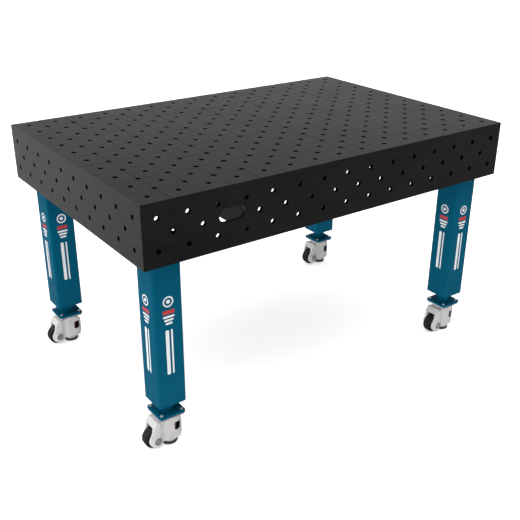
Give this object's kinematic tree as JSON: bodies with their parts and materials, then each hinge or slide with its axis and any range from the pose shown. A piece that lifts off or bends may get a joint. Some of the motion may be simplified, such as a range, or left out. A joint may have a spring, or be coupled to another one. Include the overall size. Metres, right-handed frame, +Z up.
{
  "type": "welding table",
  "caption": "Box-topped steel welding table with a diagonal grid of fixture holes in the top and skirt, square painted legs and levelling swivel casters.",
  "frame": {"origin": "on the floor under the middle of the table", "axes": "+X along the long side, +Y towards the rear, +Z up"},
  "size_m": [1.5, 1, 0.883],
  "materials": {
    "table_steel": "matt black nitrided steel",
    "leg_paint": "satin powder coat",
    "zinc": "bright zinc plated",
    "caster_casting": "satin painted die casting",
    "nylon": "moulded nylon",
    "rubber": "matt rubber",
    "red_plastic": "moulded plastic"
  },
  "bodies": {
    "table": {"caster_plate_front_left": "zinc", "caster_plate_front_right": "zinc", "caster_plate_rear_left": "zinc", "caster_plate_rear_right": "zinc", "corner_plate_front_left": "table_steel", "corner_plate_front_right": "table_steel", "corner_plate_rear_left": "table_steel", "corner_plate_rear_right": "table_steel", "cross_rib_left": "table_steel", "cross_rib_middle": "table_steel", "cross_rib_right": "table_steel", "foot_bolts": "zinc", "foot_nuts": "zinc", "foot_plate_front_left": "leg_paint", "foot_plate_front_right": "leg_paint", "foot_plate_rear_left": "leg_paint", "foot_plate_rear_right": "leg_paint", "front_wall": "table_steel", "left_wall": "table_steel", "leg_bolts": "zinc", "leg_end_caps": "leg_paint", "leg_flange_front_left": "leg_paint", "leg_flange_front_right": "leg_paint", "leg_flange_rear_left": "leg_paint", "leg_flange_rear_right": "leg_paint", "leg_necks": "leg_paint", "leg_tube_front_left": "leg_paint", "leg_tube_front_right": "leg_paint", "leg_tube_rear_left": "leg_paint", "leg_tube_rear_right": "leg_paint", "long_rib_sections": "table_steel", "rear_wall": "table_steel", "right_wall": "table_steel", "swivel_pins": "zinc", "swivel_races": "zinc", "top_plate": "table_steel"},
    "caster_front_left": {"caster_housing_front_left": "caster_casting", "wheel_axle_front_left": "zinc"},
    "wheel_front_left": {"wheel_front_left": "nylon"},
    "adjuster_front_left": {"adjusting_nut_front_left": "red_plastic"},
    "foot_front_left": {"levelling_stem_front_left": "caster_casting", "rubber_pad_front_left": "rubber"},
    "caster_front_right": {"caster_housing_front_right": "caster_casting", "wheel_axle_front_right": "zinc"},
    "wheel_front_right": {"wheel_front_right": "nylon"},
    "adjuster_front_right": {"adjusting_nut_front_right": "red_plastic"},
    "foot_front_right": {"levelling_stem_front_right": "caster_casting", "rubber_pad_front_right": "rubber"},
    "caster_rear_left": {"caster_housing_rear_left": "caster_casting", "wheel_axle_rear_left": "zinc"},
    "wheel_rear_left": {"wheel_rear_left": "nylon"},
    "adjuster_rear_left": {"adjusting_nut_rear_left": "red_plastic"},
    "foot_rear_left": {"levelling_stem_rear_left": "caster_casting", "rubber_pad_rear_left": "rubber"},
    "caster_rear_right": {"caster_housing_rear_right": "caster_casting", "wheel_axle_rear_right": "zinc"},
    "wheel_rear_right": {"wheel_rear_right": "nylon"},
    "adjuster_rear_right": {"adjusting_nut_rear_right": "red_plastic"},
    "foot_rear_right": {"levelling_stem_rear_right": "caster_casting", "rubber_pad_rear_right": "rubber"}
  },
  "joints": [
    {"name": "swivel_front_left", "type": "hinge", "parent": "table", "child": "caster_front_left", "pos_m": [-0.654, -0.404, 0.11], "axis": [0, 0, 1], "continuous": true},
    {"name": "wheel_spin_front_left", "type": "hinge", "parent": "caster_front_left", "child": "wheel_front_left", "pos_m": [-0.7065, -0.404, 0.037], "axis": [0, 1, 0], "continuous": true},
    {"name": "adjuster_turn_front_left", "type": "hinge", "parent": "caster_front_left", "child": "adjuster_front_left", "pos_m": [-0.65, -0.404, 0.07], "axis": [0, 0, 1], "range_deg": [-540, 2160]},
    {"name": "foot_lift_front_left", "type": "slide", "parent": "caster_front_left", "child": "foot_front_left", "axis": [0, 0, 1], "range_m": [-0.012, 0.003]},
    {"name": "swivel_front_right", "type": "hinge", "parent": "table", "child": "caster_front_right", "pos_m": [0.654, -0.404, 0.11], "axis": [0, 0, 1], "continuous": true},
    {"name": "wheel_spin_front_right", "type": "hinge", "parent": "caster_front_right", "child": "wheel_front_right", "pos_m": [0.6015, -0.404, 0.037], "axis": [0, 1, 0], "continuous": true},
    {"name": "adjuster_turn_front_right", "type": "hinge", "parent": "caster_front_right", "child": "adjuster_front_right", "pos_m": [0.658, -0.404, 0.07], "axis": [0, 0, 1], "range_deg": [-540, 2160]},
    {"name": "foot_lift_front_right", "type": "slide", "parent": "caster_front_right", "child": "foot_front_right", "axis": [0, 0, 1], "range_m": [-0.012, 0.003]},
    {"name": "swivel_rear_left", "type": "hinge", "parent": "table", "child": "caster_rear_left", "pos_m": [-0.654, 0.404, 0.11], "axis": [0, 0, 1], "continuous": true},
    {"name": "wheel_spin_rear_left", "type": "hinge", "parent": "caster_rear_left", "child": "wheel_rear_left", "pos_m": [-0.7065, 0.404, 0.037], "axis": [0, 1, 0], "continuous": true},
    {"name": "adjuster_turn_rear_left", "type": "hinge", "parent": "caster_rear_left", "child": "adjuster_rear_left", "pos_m": [-0.65, 0.404, 0.07], "axis": [0, 0, 1], "range_deg": [-540, 2160]},
    {"name": "foot_lift_rear_left", "type": "slide", "parent": "caster_rear_left", "child": "foot_rear_left", "axis": [0, 0, 1], "range_m": [-0.012, 0.003]},
    {"name": "swivel_rear_right", "type": "hinge", "parent": "table", "child": "caster_rear_right", "pos_m": [0.654, 0.404, 0.11], "axis": [0, 0, 1], "continuous": true},
    {"name": "wheel_spin_rear_right", "type": "hinge", "parent": "caster_rear_right", "child": "wheel_rear_right", "pos_m": [0.6015, 0.404, 0.037], "axis": [0, 1, 0], "continuous": true},
    {"name": "adjuster_turn_rear_right", "type": "hinge", "parent": "caster_rear_right", "child": "adjuster_rear_right", "pos_m": [0.658, 0.404, 0.07], "axis": [0, 0, 1], "range_deg": [-540, 2160]},
    {"name": "foot_lift_rear_right", "type": "slide", "parent": "caster_rear_right", "child": "foot_rear_right", "axis": [0, 0, 1], "range_m": [-0.012, 0.003]}
  ],
  "couplings": [
    {"joint": "foot_lift_front_left", "follows": "adjuster_turn_front_left", "m_per_rad": -0.000318},
    {"joint": "foot_lift_front_right", "follows": "adjuster_turn_front_right", "m_per_rad": -0.000318},
    {"joint": "foot_lift_rear_left", "follows": "adjuster_turn_rear_left", "m_per_rad": -0.000318},
    {"joint": "foot_lift_rear_right", "follows": "adjuster_turn_rear_right", "m_per_rad": -0.000318}
  ]
}
